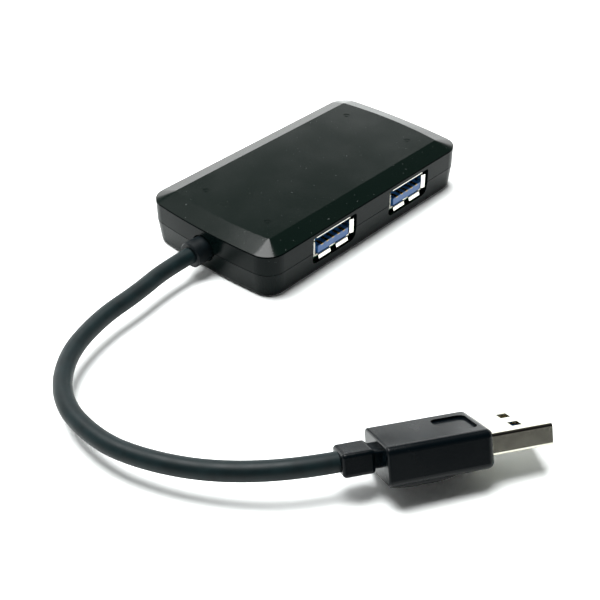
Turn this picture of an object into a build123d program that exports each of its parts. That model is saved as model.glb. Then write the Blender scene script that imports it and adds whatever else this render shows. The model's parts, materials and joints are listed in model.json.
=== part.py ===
from build123d import *
from math import asin, atan2, cos, degrees, radians, sin, tan
import os

# USB hub with four sockets and a short captive cable. Millimetres.
# X runs along the case and the cable leaves its -X end. The sockets open on the
# -Y and +Y sides. Z is up, and the origin is the middle of the underside.

# Case
CASE_LENGTH = 73.0  # between the corners of the two ends
CASE_WIDTH = 41.5
CASE_HEIGHT = 13.4
END_BULGE = 1.2  # each end is a shallow arc
CORNER_RADIUS = 5.2
WALL = 1.9
FLOOR = 1.6
SEAM_Z = 6.5  # where the lower and the upper shell meet
RIM_Z = 11.6  # where the top cover sits on the upper shell
SIDE_DRAFT = 0.7  # the lower shell is this much smaller at its underside
BOTTOM_ROUND = 1.0
COVER_BEVEL = 4.8  # width of the sloping border of the top cover
COVER_SKIN = 1.1
SEAM_BREAK = 0.08  # chamfers that make the hairline between the two shells
COVER_BREAK = 0.2  # and the wider groove under the top cover
LIP_HEIGHT = 0.9  # tongue of the lower shell inside the upper shell
LIP_WALL = 0.8
FIT_GAP = 0.05

# Pins of the top cover that hold the board and press into the lower shell
PIN_X = 26.6
PIN_Y = 10.5
PIN_RADIUS = 1.2
PIN_SHOULDER = 2.1
SOCKET_RADIUS = 2.5
RIB_XS = (-6.0, 6.8)  # ribs under the board

# Standard-A sockets
PORT_XS = (-13.8, 14.9)
PORT_Z = 7.2
PORT_RECESS = 0.45  # the mouths are this far inside the outer faces
CUTOUT_WIDTH = 15.8
CUTOUT_HEIGHT = 7.7
CUTOUT_DROP = 0.55  # the cutout's middle is below the socket's
CUTOUT_TOP_RADIUS = 0.7
CUTOUT_BOTTOM_RADIUS = 1.7
SHEET = 0.3
MOUTH_WIDTH = 12.5
MOUTH_HEIGHT = 5.12
SOCKET_DEPTH = 17.8
LIP_ROOT = 0.7  # distance from the mouth plane to where the flared lips start
LIP_REACH = 1.12
LIP_ANGLE = 75.0
LIP_BEND = 0.45
TONGUE_WIDTH = 11.1
TONGUE_THICK = 1.95
TONGUE_GAP = 0.55  # below the tongue
TONGUE_SETBACK = 0.25
BLOCK_DEPTH = 6.2
CONTACT_THICK = 0.16
SPRING_XS = (-3.5, -1.0, 1.0, 3.5)
PAD_XS = (-4.0, -2.0, 0.0, 2.0, 4.0)
SPRING_TAIL_Y = 14.4
PAD_TAIL_Y = 12.2
PAD_HOOK = 0.3  # the pads fold over the tongue's front edge by this much
PAD_FLAT = 2.2
TAIL_LENGTH = 2.2  # below the socket's floor
LEG_YS = (5.5, 12.0)

# Circuit board
BOARD_LENGTH = 65.0
BOARD_WIDTH = 37.0
BOARD_THICK = 1.6
BOARD_X = 1.0
BOARD_TOP = PORT_Z - MOUTH_HEIGHT / 2 - SHEET
BOARD_BOTTOM = BOARD_TOP - BOARD_THICK

# Cable, gland and plug
GLAND_Y = 0.6
GLAND_Z = 6.3
GLAND_RADIUS = 3.2
GLAND_FLANGE = 4.1
GLAND_SLACK = 0.15
GLAND_END_X = -41.9
CABLE_RADIUS = 2.05
CABLE_ROUTE = [
    (GLAND_END_X, GLAND_Y, GLAND_Z),
    (-50.0, GLAND_Y, GLAND_Z),
    (-59.5, -1.2, 6.1),
    (-71.5, -2.2, 6.0),
    (-84.5, -7.0, 5.9),
    (-94.0, -17.5, 5.9),
    (-96.0, -31.8, 5.95),
    (-93.2, -43.2, 6.3),
    (-87.4, -54.8, 6.9),
    (-78.0, -65.9, 7.94),
    (-70.4, -70.6, 7.64),
]
PLUG_ROLL = -25.0  # the stiff cable twists the plug onto one edge
PLUG_SHELL_WIDTH = 12.0
PLUG_SHELL_HEIGHT = 4.5
PLUG_SHELL_OUT = 12.3  # length in front of the overmold
PLUG_SHELL_IN = 5.0
SHELL_HOLE_Y = 2.5
OVERMOLD_LENGTH = 21.0
OVERMOLD_WIDTH = 14.0
OVERMOLD_TOP = 3.45  # above the plug's axis
OVERMOLD_BOTTOM = -4.4
OVERMOLD_ROUND = 1.4  # of its long edges
FRONT_ROUND = 1.3
REAR_ROUND = 0.5
BELLY_LENGTH = 14.0  # swelling of the underside, which the plug rests on
BELLY_WIDTH = 11.0
BELLY_DROP = 1.3
THUMB_LENGTH = 7.1  # plain recess in the top
THUMB_WIDTH = 8.0
THUMB_DEPTH = 0.5
NECK_LENGTH = 1.2
RELIEF_LENGTH = 6.4
RELIEF_WIDTH = 6.8
RELIEF_HEIGHT = 4.8
PLUG_LENGTH = PLUG_SHELL_OUT + OVERMOLD_LENGTH + NECK_LENGTH + RELIEF_LENGTH

os.makedirs("parts", exist_ok=True)


def save(name, shape):
    export_step(shape, "parts/" + name + ".step")


def block(x0, x1, y0, y1, z0, z1):
    """Box between two opposite corners."""
    centre = Pos((x0 + x1) / 2, (y0 + y1) / 2, (z0 + z1) / 2)
    return centre * Box(x1 - x0, y1 - y0, z1 - z0)


def case_outline(inset, z):
    """Plan of the case, moved inwards by inset, at height z."""
    half_x = CASE_LENGTH / 2 - inset
    half_y = CASE_WIDTH / 2 - inset
    tip_x = half_x + END_BULGE
    outline = make_face([
        Line((-half_x, -half_y), (half_x, -half_y)),
        ThreePointArc((half_x, -half_y), (tip_x, 0), (half_x, half_y)),
        Line((half_x, half_y), (-half_x, half_y)),
        ThreePointArc((-half_x, half_y), (-tip_x, 0), (-half_x, -half_y)),
    ])
    radius = max(CORNER_RADIUS - inset, 0.4)
    return Pos(0, 0, z) * fillet(outline.vertices(), radius)


def case_prism(inset, z0, z1):
    return extrude(case_outline(inset, z0), z1 - z0, dir=(0, 0, 1))


def port_places():
    """Name and place of each socket; its own frame has Y going into the case."""
    mouth_y = CASE_WIDTH / 2 - PORT_RECESS
    places = {}
    for side, sign, turn in (("front", -1, 0), ("rear", 1, 180)):
        for end, x in zip(("left", "right"), PORT_XS):
            places[side + "_" + end] = Pos(x, sign * mouth_y, PORT_Z) * Rot(0, 0, turn)
    return places


def pin_places():
    return [Pos(x, y, 0) for x in (-PIN_X, PIN_X) for y in (-PIN_Y, PIN_Y)]


def wall_openings():
    """Everything that is cut through the case walls: four sockets and the gland."""
    cutters = []
    window = Rectangle(CUTOUT_WIDTH, CUTOUT_HEIGHT)
    window = fillet(window.vertices().group_by(Axis.Y)[0], CUTOUT_BOTTOM_RADIUS)
    window = fillet(window.vertices().group_by(Axis.Y)[-1], CUTOUT_TOP_RADIUS)
    tunnel = extrude(Plane.XZ * Pos(0, -CUTOUT_DROP, 0) * window, 4, both=True)
    for place in port_places().values():
        cutters.append(place * tunnel)
    bore = Pos(-CASE_LENGTH / 2, GLAND_Y, GLAND_Z) * Rot(0, 90, 0)
    cutters.append(bore * Cylinder(GLAND_RADIUS + 0.3, 8))
    return cutters


def edge_break(z_full, z_edge):
    """Thin band whose outline shrinks from full size to the broken edge, at 45 degrees."""
    return loft([case_outline(0, z_full), case_outline(abs(z_edge - z_full), z_edge)])


def make_lower_shell():
    shell = loft([case_outline(SIDE_DRAFT, 0), case_outline(0, SEAM_Z - SEAM_BREAK)])
    shell = fillet(shell.edges().group_by(Axis.Z)[0], BOTTOM_ROUND)
    shell += edge_break(SEAM_Z - SEAM_BREAK, SEAM_Z)
    shell -= case_prism(WALL, FLOOR, SEAM_Z + 1)
    lip = case_prism(WALL - LIP_WALL, SEAM_Z - 0.5, SEAM_Z + LIP_HEIGHT)
    shell += lip - case_prism(WALL, SEAM_Z - 1, SEAM_Z + 2)
    for place in pin_places():
        post_height = BOARD_BOTTOM - FLOOR + 0.2
        post = Cylinder(SOCKET_RADIUS, post_height, align=(Align.CENTER, Align.CENTER, Align.MAX))
        hole = Cylinder(PIN_RADIUS + FIT_GAP, post_height, align=(Align.CENTER, Align.CENTER, Align.MAX))
        shell += place * Pos(0, 0, BOARD_BOTTOM) * post
        shell -= place * Pos(0, 0, BOARD_BOTTOM + 0.1) * hole
    for x in RIB_XS:
        shell += block(x - 0.5, x + 0.5, -10, 10, FLOOR - 0.1, BOARD_BOTTOM)
    for cutter in wall_openings():
        shell -= cutter
    return shell


def make_upper_shell():
    shell = case_prism(0, SEAM_Z + SEAM_BREAK, RIM_Z - COVER_BREAK)
    shell += edge_break(SEAM_Z + SEAM_BREAK, SEAM_Z)
    shell += edge_break(RIM_Z - COVER_BREAK, RIM_Z)
    shell -= case_prism(WALL, SEAM_Z - 1, RIM_Z + 1)
    shell -= case_prism(WALL - LIP_WALL - FIT_GAP, SEAM_Z - 1, SEAM_Z + LIP_HEIGHT + FIT_GAP)
    for cutter in wall_openings():
        shell -= cutter
    return shell


def make_top_cover():
    cover = loft([case_outline(0, RIM_Z + COVER_BREAK), case_outline(COVER_BEVEL, CASE_HEIGHT)])
    cover += edge_break(RIM_Z + COVER_BREAK, RIM_Z)
    ceiling = CASE_HEIGHT - COVER_SKIN
    cover -= loft([case_outline(2.8, RIM_Z), case_outline(COVER_BEVEL + 0.6, ceiling)])
    rim = case_prism(WALL + FIT_GAP, RIM_Z - 0.9, RIM_Z + 0.1)
    cover += rim - case_prism(WALL + 0.8, RIM_Z - 1, RIM_Z + 1)
    ring_mark = Cylinder(0.85, 0.2) - Cylinder(0.45, 0.2)
    for place in pin_places():
        shoulder = place * Pos(0, 0, (BOARD_TOP + ceiling + 0.2) / 2)
        cover += shoulder * Cylinder(PIN_SHOULDER, ceiling + 0.2 - BOARD_TOP)
        pin_bottom = BOARD_BOTTOM - 0.9
        pin = place * Pos(0, 0, (pin_bottom + BOARD_TOP + 0.1) / 2)
        cover += pin * Cylinder(PIN_RADIUS, BOARD_TOP + 0.1 - pin_bottom)
        cover -= place * Pos(0, 0, CASE_HEIGHT) * ring_mark
    return cover


def ribbon(points, width):
    """Strip of contact sheet along points (y, z), centred on X = 0."""
    profile = trace(Polyline(*points), CONTACT_THICK)
    return extrude(Plane.YZ * profile, width / 2, both=True)


def lip(width):
    """Flared lip, in a frame where X points outwards from the inner sheet face."""
    angle = radians(LIP_ANGLE)
    mid = angle / 2
    inner, outer = LIP_BEND, LIP_BEND - SHEET
    centre = LIP_BEND

    def on_arc(radius, turn):
        return (centre - radius * cos(turn), -radius * sin(turn))

    start_in, mid_in, end_in = [on_arc(inner, t) for t in (0, mid, angle)]
    start_out, mid_out, end_out = [on_arc(outer, t) for t in (0, mid, angle)]
    length = (LIP_REACH - end_in[0]) / sin(angle)
    step = (length * sin(angle), -length * cos(angle))
    tip_in = (end_in[0] + step[0], end_in[1] + step[1])
    tip_out = (end_out[0] + step[0], end_out[1] + step[1])
    face = make_face([
        ThreePointArc(start_in, mid_in, end_in),
        Line(end_in, tip_in),
        Line(tip_in, tip_out),
        Line(tip_out, end_out),
        ThreePointArc(end_out, mid_out, start_out),
        Line(start_out, start_in),
    ])
    return extrude(face, width / 2, both=True)


def make_port_shell():
    """Folded steel shell of one socket; the mouth plane is Y = 0."""
    half_w, half_h = MOUTH_WIDTH / 2, MOUTH_HEIGHT / 2
    sheet = SHEET
    shell = block(-half_w - sheet, half_w + sheet, LIP_ROOT, SOCKET_DEPTH,
                  -half_h - sheet, half_h + sheet)
    shell = fillet(shell.edges().filter_by(Axis.Y), 0.5)
    shell -= block(-half_w, half_w, -1, SOCKET_DEPTH - sheet, -half_h, half_h)
    side_lip = Pos(half_w, LIP_ROOT, -0.3) * lip(3.9)
    shell += side_lip
    shell += Rot(0, 180, 0) * Pos(0, 0, 0.6) * side_lip
    for x in (-3.2, 3.2):
        shell += Pos(x, LIP_ROOT, -half_h) * Rot(0, 90, 0) * lip(4.3)
    # The roof runs on to the mouth plane between the bends
    shell += block(-half_w + 0.2, half_w - 0.2, 0.1, LIP_ROOT + 0.5, half_h, half_h + sheet)
    # Tail opening in the floor, and two spring fingers in the roof
    shell -= block(-5.0, 5.0, PAD_TAIL_Y - 0.6, SPRING_TAIL_Y + 0.6, -half_h - 1, -half_h + 0.1)
    for x in (-3.2, 3.2):
        shell -= block(x - 1.1, x + 1.1, 3.0, 9.0, half_h - 0.1, half_h + 1)
        finger = [(9.1, half_h + 0.15), (6.0, half_h - 0.45), (4.8, half_h - 0.45), (3.6, half_h)]
        shell += Pos(x, 0, 0) * ribbon(finger, 1.6)
    for side in (-1, 1):
        for y in LEG_YS:
            x = side * (half_w + sheet / 2)
            shell += Pos(x, y, -half_h - 1.0) * Box(sheet, 2.0, 3.2)
    return shell


def tongue_levels():
    """Lowest and highest Z of the tongue, from the socket's middle."""
    low = -MOUTH_HEIGHT / 2 + TONGUE_GAP
    return low, low + TONGUE_THICK


def make_port_contacts():
    """Four springs on top of the tongue and five pads let into its front edge."""
    low, high = tongue_levels()
    half = CONTACT_THICK / 2
    tail_z = -MOUTH_HEIGHT / 2 - SHEET - TAIL_LENGTH
    top = high + half
    spring = [(4.2, top), (5.2, top + 0.55), (6.4, top + 0.55), (8.0, top),
              (SPRING_TAIL_Y, top), (SPRING_TAIL_Y, tail_z)]
    flush = high - half
    inside = (low + high) / 2
    tip = TONGUE_SETBACK + half
    pad = [(tip, high - PAD_HOOK), (tip, flush), (PAD_FLAT, flush), (PAD_FLAT, inside),
           (PAD_TAIL_Y, inside), (PAD_TAIL_Y, tail_z)]
    contacts = [Pos(x, 0, 0) * ribbon(spring, 0.8) for x in SPRING_XS]
    contacts += [Pos(x, 0, 0) * ribbon(pad, 0.9) for x in PAD_XS]
    return contacts


def make_port_tongue(contacts):
    """Moulded tongue and its rear block, cut where the contacts pass through."""
    low, high = tongue_levels()
    half_w = TONGUE_WIDTH / 2
    rear = SOCKET_DEPTH - SHEET
    front = rear - BLOCK_DEPTH
    tongue = block(-half_w, half_w, TONGUE_SETBACK, front + 0.5, low, high)
    inner_w, inner_h = MOUTH_WIDTH / 2, MOUTH_HEIGHT / 2
    tongue += block(-inner_w, inner_w, front, rear, -inner_h, inner_h)
    for contact in contacts:
        tongue -= contact
    return tongue


def make_board():
    board = RectangleRounded(BOARD_LENGTH, BOARD_WIDTH, 2.0)
    board = extrude(Pos(BOARD_X, 0, BOARD_BOTTOM) * board, BOARD_THICK)
    for place in pin_places():
        board -= place * Pos(0, 0, BOARD_BOTTOM) * Cylinder(PIN_RADIUS + 0.2, 4)
    below = -PORT_Z + BOARD_BOTTOM
    for place in port_places().values():
        for side in (-1, 1):
            for y in LEG_YS:
                x = side * (MOUTH_WIDTH + SHEET) / 2
                board -= place * Pos(x, y, below) * Box(0.6, 2.4, 4)
        for xs, y in ((SPRING_XS, SPRING_TAIL_Y), (PAD_XS, PAD_TAIL_Y)):
            for x in xs:
                board -= place * Pos(x, y, below) * Cylinder(0.55, 4)
    return board


def on_board(x, y, shape):
    """Stand a component, modelled from Z = 0 up, on the board's top face."""
    return Pos(x, y, BOARD_TOP) * shape


def body(length, width, height):
    return Box(length, width, height, align=(Align.CENTER, Align.CENTER, Align.MIN))


def make_controller():
    chip = Pos(0, 0, 0.1) * body(7.0, 7.0, 1.3)
    chip = chamfer(chip.edges().group_by(Axis.Z)[-1], 0.25)
    lead = Pos(3.9, 0, 0) * body(1.2, 0.24, 0.16) + Pos(3.55, 0, 0) * body(0.3, 0.24, 0.6)
    for quarter in range(4):
        for slot in range(12):
            offset = (slot - 5.5) * 0.5
            chip += Rot(0, 0, 90 * quarter) * Pos(0, offset, 0) * lead
    dot = Pos(-2.5, 2.5, 1.4) * Cylinder(0.4, 0.2)
    return on_board(-0.3, 0, chip - dot)


def make_crystal():
    can = body(5.0, 3.2, 0.4)
    lid = Pos(0, 0, 0.4) * body(4.4, 2.6, 0.6)
    lid = fillet(lid.edges().filter_by(Axis.Z), 0.5)
    return on_board(-0.3, -9.5, can + lid)


def make_regulator():
    chip = Pos(0, 0, 0.1) * body(6.5, 3.5, 1.6)
    chip = chamfer(chip.edges().group_by(Axis.Z)[-1], 0.3)
    chip += Pos(0, 2.6, 0) * body(3.0, 2.0, 0.3)
    for x in (-2.3, 0, 2.3):
        chip += Pos(x, -2.6, 0) * body(0.75, 2.0, 0.3)
    return on_board(27.0, 4.0, chip)


def make_inductor():
    coil = body(4.2, 4.2, 2.0)
    coil = fillet(coil.edges().filter_by(Axis.Z), 1.0)
    coil -= Pos(0, 0, 2.0) * (Cylinder(1.7, 0.3) - Cylinder(1.1, 0.3))
    return on_board(27.0, -3.5, coil)


def make_fuse():
    strip = body(3.2, 2.5, 0.6)
    for x in (-1.45, 1.45):
        strip += Pos(x, 0, 0) * body(0.7, 2.6, 0.7)
    return on_board(-23.0, 6.5, strip)


def chip_part(length, width, height):
    """Two-terminal part: a body with slightly larger metal ends."""
    part = body(length, width, height)
    for x in (-length * 0.38, length * 0.38):
        part += Pos(x, 0, 0) * body(length * 0.25, width + 0.06, height + 0.04)
    return part


def make_capacitors():
    small = chip_part(1.6, 0.8, 0.8)
    large = chip_part(3.2, 1.6, 1.4)
    places = [(side * 6.0 - 0.3, y) for side in (-1, 1) for y in (-4.5, -1.5, 1.5, 4.5)]
    parts = [on_board(x, y, Rot(0, 0, 90) * small) for x, y in places]
    parts += [on_board(x, y, large) for x in (23.5, 30.5) for y in (14.5, -15.0)]
    return Compound(children=parts)


def make_resistors():
    part = chip_part(1.0, 0.5, 0.35)
    places = [(-3.3 + 1.5 * step, 7.2) for step in range(5)]
    places += [(-3.3 + 1.5 * step, -12.8) for step in range(5)]
    return Compound(children=[on_board(x, y, Rot(0, 0, 90) * part) for x, y in places])


# Conductors of the cable: radius, place in the gland and Y of the solder joint
WIRES = {
    "power_wire": (0.5, (1.5, 0.0), 6.0),
    "ground_wire": (0.5, (-1.5, 0.0), -4.6),
    "data_plus_wire": (0.4, (0.3, 1.3), 3.7),
    "data_minus_wire": (0.4, (-0.6, 1.1), -2.1),
    "superspeed_send_pair": (0.7, (0.7, -1.0), 1.9),
    "superspeed_receive_pair": (0.7, (-0.9, -1.0), -0.3),
}
WIRE_START_X = -33.2
WIRE_END_X = -26.6


def make_wire(radius, start, end_y):
    z_end = BOARD_TOP + radius
    y0, z0 = GLAND_Y + start[0], GLAND_Z + start[1]
    points = [
        (WIRE_START_X, y0, z0),
        (WIRE_START_X + 1.5, y0, z0),
        (WIRE_END_X - 2.6, end_y, z_end),
        (WIRE_END_X, end_y, z_end),
    ]
    path = FilletPolyline(*points, radius=1.2)
    return sweep(Plane(points[0], z_dir=(1, 0, 0)) * Circle(radius), path=path)


def make_solder_joints():
    joints = []
    for radius, _, end_y in WIRES.values():
        dome = Sphere(radius + 0.15, arc_size1=0, align=(Align.CENTER, Align.CENTER, Align.MIN))
        joints.append(on_board(WIRE_END_X + radius + 0.15, end_y, dome))
    return Compound(children=joints)


def make_gland():
    """Strain relief moulded on the cable and held in the case wall by its flange."""
    face_x = -CASE_LENGTH / 2 - END_BULGE
    inner_x = face_x + WALL + GLAND_SLACK
    profile = make_face(Polyline(
        (GLAND_END_X, 0), (GLAND_END_X, GLAND_RADIUS - 0.3), (GLAND_END_X + 0.3, GLAND_RADIUS),
        (inner_x, GLAND_RADIUS), (inner_x, GLAND_FLANGE),
        (inner_x + 1.3, GLAND_FLANGE), (inner_x + 1.3, 2.6), (WIRE_START_X, 2.4),
        (WIRE_START_X, 0), (GLAND_END_X, 0)))
    return Pos(0, GLAND_Y, GLAND_Z) * revolve(profile, Axis.X)


def cord_radii(route):
    """Largest bend radius that each corner's two runs leave room for."""
    points = [Vector(*p) for p in route]
    radii = []
    for before, corner, after in zip(points, points[1:], points[2:]):
        turn = radians((corner - before).get_angle(after - corner))
        shorter = min((corner - before).length, (after - corner).length)
        radii.append(0.45 * shorter / tan(turn / 2))
    return radii


def make_cable():
    radii = cord_radii(CABLE_ROUTE)
    path = FilletPolyline(*CABLE_ROUTE, radius=radii)
    section = Plane(CABLE_ROUTE[0], z_dir=(-1, 0, 0)) * Circle(CABLE_RADIUS)
    tube = sweep(section, path=path)
    print("cable bend radii", [round(r, 1) for r in radii])
    print("cable length", round(path.length, 1))
    print("tube volume", round(tube.volume, 1), "section x length",
          round(section.area * path.length, 1))
    return tube


def plug_place():
    """Frame of the plug: origin at its rear end, X towards the tip, Z up from its top."""
    before, end = (Vector(*p) for p in CABLE_ROUTE[-2:])
    axis = (end - before).normalized()
    yaw = degrees(atan2(axis.Y, axis.X))
    pitch = degrees(asin(-axis.Z))
    return Pos(end) * Rot(0, 0, yaw) * Rot(0, pitch, 0) * Rot(PLUG_ROLL, 0, 0)


OVERMOLD_FRONT = PLUG_LENGTH - PLUG_SHELL_OUT
OVERMOLD_REAR = OVERMOLD_FRONT - OVERMOLD_LENGTH


def plug_bar(x0, x1, width, height):
    return block(x0, x1, -width / 2, width / 2, -height / 2, height / 2)


def plug_section(width, bottom, top):
    """Rounded rectangle across the plug's axis."""
    outline = RectangleRounded(width, top - bottom, OVERMOLD_ROUND)
    return Plane.YZ * Pos(0, (top + bottom) / 2, 0) * outline


def make_plug_belly():
    """Swelling under the grip: a rounded bar cut to a shallow arc along its length."""
    bottom = OVERMOLD_BOTTOM - BELLY_DROP
    bar = extrude(plug_section(BELLY_WIDTH, bottom, 0), PLUG_LENGTH)
    radius = ((BELLY_LENGTH / 2) ** 2 + BELLY_DROP ** 2) / (2 * BELLY_DROP)
    middle_x = OVERMOLD_REAR + BELLY_LENGTH / 2
    arc = Pos(middle_x, 0, bottom + radius) * Rot(90, 0, 0) * Cylinder(radius, BELLY_WIDTH + 2)
    ends = plug_bar(OVERMOLD_REAR + 0.4, OVERMOLD_REAR + BELLY_LENGTH + 1, BELLY_WIDTH + 2, -4 * bottom)
    return bar & arc & ends


def make_plug_overmold():
    section = plug_section(OVERMOLD_WIDTH, OVERMOLD_BOTTOM, OVERMOLD_TOP)
    grip = Pos(OVERMOLD_REAR, 0, 0) * extrude(section, OVERMOLD_LENGTH)
    grip = fillet(grip.faces().sort_by(Axis.X)[0].edges(), REAR_ROUND)
    grip = fillet(grip.faces().sort_by(Axis.X)[-1].edges(), FRONT_ROUND)
    relief = plug_bar(0, RELIEF_LENGTH, RELIEF_WIDTH, RELIEF_HEIGHT)
    relief = fillet(relief.edges(), 0.8)
    neck = plug_bar(RELIEF_LENGTH - 1, OVERMOLD_REAR + 1, RELIEF_WIDTH - 1.4, RELIEF_HEIGHT - 1.2)
    neck = fillet(neck.edges().filter_by(Axis.X), 0.6)
    overmold = grip + relief + neck + make_plug_belly()
    inner = OVERMOLD_FRONT - PLUG_SHELL_IN
    overmold -= plug_bar(inner, OVERMOLD_FRONT + 1, PLUG_SHELL_WIDTH, PLUG_SHELL_HEIGHT)
    thumb = RectangleRounded(THUMB_LENGTH, THUMB_WIDTH, 1.3)
    middle_x = OVERMOLD_FRONT - 1.7 - THUMB_LENGTH / 2
    overmold -= extrude(Pos(middle_x, 0, OVERMOLD_TOP - THUMB_DEPTH) * thumb, 1)
    return overmold


def make_plug_shell():
    half_w, half_h = PLUG_SHELL_WIDTH / 2, PLUG_SHELL_HEIGHT / 2
    rear = OVERMOLD_FRONT - PLUG_SHELL_IN
    shell = plug_bar(rear, PLUG_LENGTH, PLUG_SHELL_WIDTH, PLUG_SHELL_HEIGHT)
    shell = fillet(shell.edges().filter_by(Axis.X), 0.7)
    inner_w, inner_h = 2 * (half_w - SHEET), 2 * (half_h - SHEET)
    shell -= plug_bar(rear - 1, PLUG_LENGTH + 1, inner_w, inner_h)
    for y in (-SHELL_HOLE_Y, SHELL_HOLE_Y):
        shell -= Pos(PLUG_LENGTH - 6.2, y, 0) * Box(2.0, 2.3, 10)
    return shell


def make_plug_contacts():
    """Four long pads near the tip and five short springs behind them."""
    top = -0.05
    contacts = []
    for y in SPRING_XS:
        x1 = PLUG_LENGTH - 1.4
        contacts.append(block(x1 - 7.0, x1, y - 0.5, y + 0.5, top, top + CONTACT_THICK))
    for y in PAD_XS:
        x1 = PLUG_LENGTH - 9.2
        spring = block(x1 - 3.6, x1, y - 0.35, y + 0.35, top, top + CONTACT_THICK)
        spring += Pos(x1 - 1.2, y, top + 0.3) * Box(1.2, 0.7, 0.6)
        contacts.append(spring)
    return Compound(children=contacts)


def make_plug_insulator():
    half_w = PLUG_SHELL_WIDTH / 2 - SHEET
    rear = OVERMOLD_FRONT - PLUG_SHELL_IN
    floor = -PLUG_SHELL_HEIGHT / 2 + SHEET
    return block(rear, PLUG_LENGTH - 0.5, -half_w, half_w, floor, -0.05)


def save_case():
    save("lower_shell", make_lower_shell())
    save("upper_shell", make_upper_shell())
    save("top_cover", make_top_cover())


def save_ports():
    shell = make_port_shell()
    contacts = make_port_contacts()
    tongue = make_port_tongue(contacts)
    for name, place in port_places().items():
        save("port_shell_" + name, place * shell)
        save("port_tongue_" + name, place * tongue)
        save("port_contacts_" + name, Compound(children=[place * c for c in contacts]))


def save_electronics():
    save("circuit_board", make_board())
    save("hub_controller", make_controller())
    save("crystal", make_crystal())
    save("voltage_regulator", make_regulator())
    save("power_inductor", make_inductor())
    save("resettable_fuse", make_fuse())
    save("chip_capacitors", make_capacitors())
    save("chip_resistors", make_resistors())
    save("solder_joints", make_solder_joints())
    for name, (radius, start, end_y) in WIRES.items():
        save(name, make_wire(radius, start, end_y))


def save_cord():
    place = plug_place()
    save("cable_gland", make_gland())
    save("cable", make_cable())
    overmold = place * make_plug_overmold()
    print("lowest point of the plug", round(overmold.bounding_box().min.Z, 2))
    save("plug_overmold", overmold)
    save("plug_shell", place * make_plug_shell())
    save("plug_insulator", place * make_plug_insulator())
    save("plug_contacts", place * make_plug_contacts())


save_case()
save_ports()
save_electronics()
save_cord()
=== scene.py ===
import json
from math import radians

import bpy
from mathutils import Matrix, Vector


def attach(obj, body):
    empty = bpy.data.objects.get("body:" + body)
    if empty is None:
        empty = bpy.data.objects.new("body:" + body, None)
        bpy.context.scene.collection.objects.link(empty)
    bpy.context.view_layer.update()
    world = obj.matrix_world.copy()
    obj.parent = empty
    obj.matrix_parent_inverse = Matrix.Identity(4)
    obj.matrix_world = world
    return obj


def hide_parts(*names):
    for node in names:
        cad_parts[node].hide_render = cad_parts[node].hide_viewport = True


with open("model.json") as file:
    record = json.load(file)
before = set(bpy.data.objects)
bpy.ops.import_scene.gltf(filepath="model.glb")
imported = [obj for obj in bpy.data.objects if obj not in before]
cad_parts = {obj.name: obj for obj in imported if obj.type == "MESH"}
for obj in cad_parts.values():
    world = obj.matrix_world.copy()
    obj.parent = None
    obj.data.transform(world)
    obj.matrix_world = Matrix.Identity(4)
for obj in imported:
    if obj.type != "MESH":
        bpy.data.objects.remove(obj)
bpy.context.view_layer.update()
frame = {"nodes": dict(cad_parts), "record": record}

# Camera, in the part's frame, in metres. The plain studio below is staging, not part of the object.
CAMERA_PLACE = (-0.18034, -0.16277, 0.15378)
CAMERA_TARGET = (-0.03108, -0.02498, 0.0001)
CAMERA_ROLL = -0.28
CAMERA_LENS = 65.42
SENSOR = 36.0  # millimetres
NEAREST_SEEN = 0.01

FLOOR_SIZE = 6.0
FLOOR_DROP = 0.0001  # the floor lies this far below the case, so that the faces don't coincide
FLOOR_WHITE = (0.91, 0.94, 0.93)
FLOOR_ROUGHNESS = 0.7

# The cable's route, as in the CAD part, from the gland to the plug
CABLE_DIAMETER = 0.0041
CABLE_ROUTE = [
    (-0.0419, 0.0006, 0.0063),
    (-0.0500, 0.0006, 0.0063),
    (-0.0595, -0.0012, 0.0061),
    (-0.0715, -0.0022, 0.0060),
    (-0.0845, -0.0070, 0.0059),
    (-0.0940, -0.0175, 0.0059),
    (-0.0960, -0.0318, 0.00595),
    (-0.0932, -0.0432, 0.0063),
    (-0.0874, -0.0548, 0.0069),
    (-0.0780, -0.0659, 0.00794),
    (-0.0704, -0.0706, 0.00764),
]

# Light: two soft panels overhead and a room that is bright low down at the back.
# Each panel: direction from the hub, distance, diameter, power.
PANELS = {
    "lamp": ((-0.03, 0.22, 0.975), 1.0, 0.74, 28.0),
    "fill": ((-0.12, 0.66, 0.74), 1.0, 0.60, 1.2),
}
ROOM_STRENGTH = 8.5
ROOM_BACK = (0.60, 0.80, 0.0)
ROOM_FRONT_SHARE = 0.07  # brightness of the room behind the camera
ROOM_TURN = (-0.2, 0.75)  # how far along ROOM_BACK the room goes from dim to bright
ROOM_BY_HEIGHT = [  # height on the unit sphere, brightness
    (0.0, 0.30),
    (0.18, 0.32),
    (0.34, 0.58),
    (0.46, 0.10),
    (0.56, 0.030),
    (0.66, 0.020),
    (1.0, 0.015),
]

# Materials
NOISE_SPREAD = (0.35, 0.65)  # the values that most of a noise texture lies between
DUST = (0.03, 0.036, 0.034)
DUST_SIZE = 0.0009
DUST_EDGE = 0.03  # how fast a speck fades in, as a share of the noise
RUBBER_SHINE = 0.13
STEEL = (0.78, 0.77, 0.70)


def make_camera():
    camera = bpy.data.objects.new("camera", bpy.data.cameras.new("camera"))
    camera.data.lens = CAMERA_LENS
    camera.data.sensor_width = SENSOR
    camera.data.clip_start = NEAREST_SEEN
    place, target = Vector(CAMERA_PLACE), Vector(CAMERA_TARGET)
    turn = (target - place).to_track_quat("-Z", "Y").to_matrix().to_4x4()
    roll = Matrix.Rotation(radians(CAMERA_ROLL), 4, "Z")
    camera.matrix_world = Matrix.Translation(place) @ turn @ roll
    bpy.context.collection.objects.link(camera)
    bpy.context.scene.camera = camera


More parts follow.
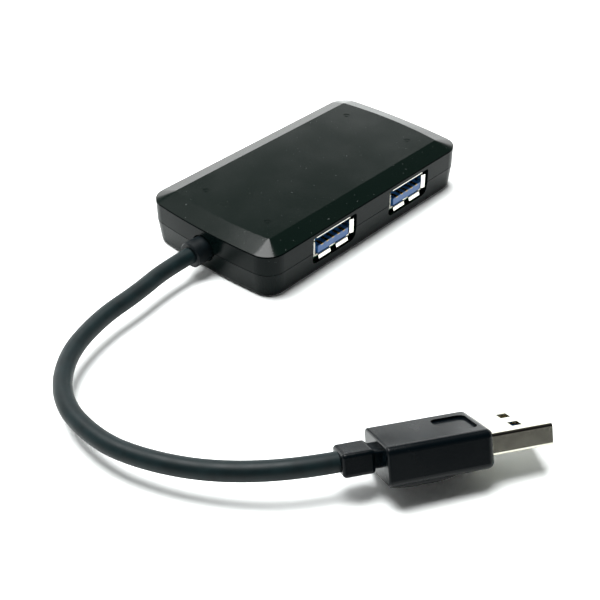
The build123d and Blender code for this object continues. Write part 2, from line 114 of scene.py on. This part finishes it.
def make_floor():
    bpy.ops.mesh.primitive_plane_add(size=FLOOR_SIZE, location=(0, 0, -FLOOR_DROP))
    floor = bpy.context.object
    floor.name = "floor"
    paint = Paint("floor_white", FLOOR_WHITE, FLOOR_ROUGHNESS)
    floor.data.materials.append(paint.material)


def make_panels():
    for name, (direction, distance, size, power) in PANELS.items():
        light = bpy.data.lights.new(name, "AREA")
        light.shape = "DISK"
        light.energy = power
        light.size = size
        lamp = bpy.data.objects.new(name, light)
        towards = Vector(direction).normalized()
        lamp.location = towards * distance
        lamp.rotation_euler = towards.to_track_quat("Z", "Y").to_euler()
        bpy.context.collection.objects.link(lamp)


def make_room():
    """World light: brightness by height, times a share that falls from the back to the front."""
    world = bpy.data.worlds.new("studio")
    bpy.context.scene.world = world
    world.use_nodes = True
    tree = world.node_tree
    coords = tree.nodes.new("ShaderNodeTexCoord")
    split = tree.nodes.new("ShaderNodeSeparateXYZ")
    ramp = tree.nodes.new("ShaderNodeValToRGB")
    tree.links.new(coords.outputs["Generated"], split.inputs[0])
    tree.links.new(split.outputs["Z"], ramp.inputs["Fac"])
    tree.links.new(ramp.outputs["Color"], tree.nodes["Background"].inputs["Color"])
    across = tree.nodes.new("ShaderNodeVectorMath")
    across.operation = "DOT_PRODUCT"
    across.inputs[1].default_value = ROOM_BACK
    share = tree.nodes.new("ShaderNodeMapRange")
    share.inputs["From Min"].default_value = ROOM_TURN[0]
    share.inputs["From Max"].default_value = ROOM_TURN[1]
    share.inputs["To Min"].default_value = ROOM_STRENGTH * ROOM_FRONT_SHARE
    share.inputs["To Max"].default_value = ROOM_STRENGTH
    tree.links.new(coords.outputs["Generated"], across.inputs[0])
    tree.links.new(across.outputs["Value"], share.inputs["Value"])
    tree.links.new(share.outputs["Result"], tree.nodes["Background"].inputs["Strength"])
    set_ramp(ramp, [(height, (grey, grey, grey)) for height, grey in ROOM_BY_HEIGHT])


def set_ramp(ramp, stops):
    """Fill a colour ramp with (position, colour) stops."""
    elements = ramp.color_ramp.elements
    while len(elements) < len(stops):
        elements.new(0.5)
    for element, (position, colour) in zip(elements, stops):
        element.position = position
        element.color = (*colour, 1)


class Paint:
    """A node material that is built up in layers from the object's own coordinates."""

    def __init__(self, name, colour, roughness, metallic=0.0, specular=0.5):
        self.material = bpy.data.materials.new(name)
        self.material.use_nodes = True
        self.tree = self.material.node_tree
        self.shader = self.tree.nodes["Principled BSDF"]
        self.shader.inputs["Base Color"].default_value = (*colour, 1)
        self.shader.inputs["Roughness"].default_value = roughness
        self.shader.inputs["Metallic"].default_value = metallic
        self.shader.inputs["Specular IOR Level"].default_value = specular
        self.colour = colour
        self.coords = self.tree.nodes.new("ShaderNodeTexCoord").outputs["Object"]
        self.normal = None

    def node(self, kind, **settings):
        node = self.tree.nodes.new("ShaderNode" + kind)
        for name, value in settings.items():
            node.inputs[name].default_value = value
        return node

    def link(self, source, node, name):
        self.tree.links.new(source, node.inputs[name])

    def stretched(self, scale):
        """Coordinates stretched along one or more axes."""
        mapping = self.node("Mapping", Scale=scale)
        self.link(self.coords, mapping, "Vector")
        return mapping.outputs["Vector"]

    def noise(self, size, detail=3.0, coords=None):
        """Noise whose features are about this size, in metres."""
        noise = self.node("TexNoise", Scale=1.0 / size, Detail=detail)
        self.link(coords or self.coords, noise, "Vector")
        return noise.outputs["Fac"]

    def ramp(self, source, stops):
        """Colour ramp driven by this output."""
        ramp = self.tree.nodes.new("ShaderNodeValToRGB")
        set_ramp(ramp, stops)
        self.link(source, ramp, "Fac")
        return ramp.outputs["Color"]

    def colours(self, source, stops):
        """Colour that changes with a noise or pattern."""
        self.tree.links.new(self.ramp(source, stops), self.shader.inputs["Base Color"])

    def gloss(self, source, low, high):
        """Roughness between two values, from the low to the high parts of a noise."""
        spread = self.node("MapRange")
        spread.inputs["From Min"].default_value = NOISE_SPREAD[0]
        spread.inputs["From Max"].default_value = NOISE_SPREAD[1]
        spread.inputs["To Min"].default_value = low
        spread.inputs["To Max"].default_value = high
        self.link(source, spread, "Value")
        self.link(spread.outputs["Result"], self.shader, "Roughness")

    def relief(self, source, depth):
        """Add a layer of fine relief of this depth, in metres."""
        bump = self.node("Bump", Strength=1.0, Distance=depth)
        self.link(source, bump, "Height")
        if self.normal:
            self.link(self.normal, bump, "Normal")
        self.normal = bump.outputs["Normal"]
        self.link(self.normal, self.shader, "Normal")

    def specks(self, size, amount, colour):
        """Small light dust specks over the plain colour; a larger amount gives more of them."""
        level = 0.5 + 0.5 * (1 - amount)
        self.colours(self.noise(size, 2.0), [
            (0.0, self.colour),
            (level, self.colour),
            (level + DUST_EDGE, colour),
        ])


def satin_plastic(name, colour, gloss, shine, grain, dust):
    """Moulded black plastic: fine spark-eroded grain, hazy handling marks and a little dust."""
    paint = Paint(name, colour, gloss[0], specular=shine)
    paint.gloss(paint.noise(0.012, 4.0), *gloss)
    paint.relief(paint.noise(0.00035, 2.0), grain)
    paint.specks(DUST_SIZE, dust, DUST)
    return paint.material


def rubber(name, colour, gloss, grain):
    """Soft jacket plastic: a matt skin with faint flow marks."""
    paint = Paint(name, colour, gloss[0], specular=RUBBER_SHINE)
    paint.gloss(paint.noise(0.004, 3.0), *gloss)
    paint.relief(paint.noise(0.0003, 3.0), grain)
    paint.colours(paint.noise(0.003, 4.0), [
        (0.35, tuple(0.8 * c for c in colour)),
        (0.65, tuple(1.25 * c for c in colour)),
    ])
    return paint.material


def brushed(name, colour, gloss, stretch):
    """Plated sheet with rolling lines along one axis and faint stains."""
    paint = Paint(name, colour, gloss[0], metallic=1.0)
    lines = paint.noise(0.0008, 4.0, paint.stretched(stretch))
    paint.gloss(lines, *gloss)
    paint.relief(lines, 0.000004)
    paint.colours(paint.noise(0.003, 4.0), [
        (0.3, tuple(0.86 * c for c in colour)),
        (0.6, colour),
    ])
    return paint.material


def clear_plastic(name, colour, gloss):
    """Glossy moulded plastic with slow waves and small colour changes."""
    paint = Paint(name, colour, gloss[0])
    paint.gloss(paint.noise(0.002, 3.0), *gloss)
    paint.relief(paint.noise(0.0006, 2.0), 0.000006)
    paint.colours(paint.noise(0.004, 3.0), [
        (0.35, tuple(0.85 * c for c in colour)),
        (0.65, colour),
    ])
    return paint.material


def laminate(name):
    """Solder mask over tracks, with bare glass fibre showing as a weave."""
    paint = Paint(name, (0.01, 0.10, 0.04), 0.3)
    cells = paint.node("TexBrick", Scale=260.0)
    cells.inputs["Color1"].default_value = (0.012, 0.13, 0.05, 1)
    cells.inputs["Color2"].default_value = (0.008, 0.09, 0.035, 1)
    cells.inputs["Mortar"].default_value = (0.02, 0.2, 0.08, 1)
    cells.inputs["Mortar Size"].default_value = 0.06
    paint.link(paint.coords, cells, "Vector")
    paint.tree.links.new(cells.outputs["Color"], paint.shader.inputs["Base Color"])
    paint.relief(cells.outputs["Fac"], 0.00002)
    paint.gloss(paint.noise(0.002, 3.0), 0.25, 0.4)
    return paint.material


def foil(name):
    """Crumpled screening foil."""
    paint = Paint(name, (0.82, 0.83, 0.85), 0.22, metallic=1.0)
    paint.relief(paint.noise(0.0006, 4.0), 0.00006)
    paint.gloss(paint.noise(0.001, 2.0), 0.15, 0.35)
    return paint.material


def make_materials():
    """One material for each slot of the record. Colours are linear; gloss is a roughness range."""
    return {
        "case_plastic": satin_plastic(
            "case_plastic", (0.0012, 0.0035, 0.0034), (0.18, 0.26), 0.06, 0.000006, 0.50),
        "cover_plastic": satin_plastic(
            "cover_plastic", (0.0015, 0.0042, 0.0032), (0.12, 0.18), 0.11, 0.000002, 0.56),
        "plug_plastic": satin_plastic(
            "plug_plastic", (0.0008, 0.0020, 0.0028), (0.20, 0.30), 0.10, 0.000004, 0.50),
        "gland_rubber": rubber("gland_rubber", (0.0015, 0.0035, 0.0045), (0.4, 0.5), 0.000008),
        "cable_jacket": rubber("cable_jacket", (0.0025, 0.0075, 0.0085), (0.42, 0.52), 0.000010),
        "port_steel": brushed("port_steel", STEEL, (0.12, 0.24), (1.0, 9.0, 1.0)),
        "plug_steel": brushed("plug_steel", (0.52, 0.51, 0.43), (0.05, 0.10), (6.0, 6.0, 1.0)),
        "contact_gold": brushed("contact_gold", (0.30, 0.22, 0.10), (0.2, 0.32), (1.0, 8.0, 1.0)),
        "crystal_can": brushed("crystal_can", (0.75, 0.76, 0.77), (0.2, 0.3), (8.0, 1.0, 1.0)),
        "solder": brushed("solder", (0.7, 0.71, 0.73), (0.18, 0.4), (1.0, 1.0, 1.0)),
        "tongue_plastic": clear_plastic("tongue_plastic", (0.010, 0.085, 0.27), (0.28, 0.4)),
        "fuse_body": clear_plastic("fuse_body", (0.03, 0.16, 0.05), (0.35, 0.5)),
        "capacitor_body": clear_plastic("capacitor_body", (0.42, 0.27, 0.14), (0.3, 0.5)),
        "resistor_body": clear_plastic("resistor_body", (0.02, 0.02, 0.022), (0.2, 0.4)),
        "wire_red": clear_plastic("wire_red", (0.45, 0.02, 0.02), (0.35, 0.5)),
        "wire_black": clear_plastic("wire_black", (0.012, 0.012, 0.013), (0.35, 0.5)),
        "wire_green": clear_plastic("wire_green", (0.03, 0.25, 0.06), (0.35, 0.5)),
        "wire_white": clear_plastic("wire_white", (0.75, 0.75, 0.72), (0.35, 0.5)),
        "chip_plastic": rubber("chip_plastic", (0.016, 0.016, 0.017), (0.45, 0.6), 0.000010),
        "ferrite": rubber("ferrite", (0.05, 0.052, 0.055), (0.6, 0.8), 0.00002),
        "board_laminate": laminate("board_laminate"),
        "pair_foil": foil("pair_foil"),
    }


def paint_nodes(materials):
    for entry in frame["record"]["subparts"]:
        node = frame["nodes"][entry["node"]]
        node.data.materials.clear()
        node.data.materials.append(materials[entry["material_slot"]])


def make_cable(material):
    """The cable's jacket as a curve along the CAD route, in place of its CAD node."""
    curve = bpy.data.curves.new("cable_jacket", "CURVE")
    curve.dimensions = "3D"
    curve.resolution_u = 16
    curve.bevel_depth = CABLE_DIAMETER / 2
    curve.bevel_resolution = 10
    curve.use_fill_caps = True
    spline = curve.splines.new("NURBS")
    spline.points.add(len(CABLE_ROUTE) - 1)
    for point, place in zip(spline.points, CABLE_ROUTE):
        point.co = (*place, 1)
    spline.order_u = 3
    spline.use_endpoint_u = True
    cable = bpy.data.objects.new("cable_jacket", curve)
    bpy.context.collection.objects.link(cable)
    curve.materials.append(material)
    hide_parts("cable")
    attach(cable, "root")


materials = make_materials()
make_camera()
paint_nodes(materials)
make_cable(materials["cable_jacket"])
make_floor()
make_panels()
make_room()
bpy.context.scene.view_settings.view_transform = "Standard"
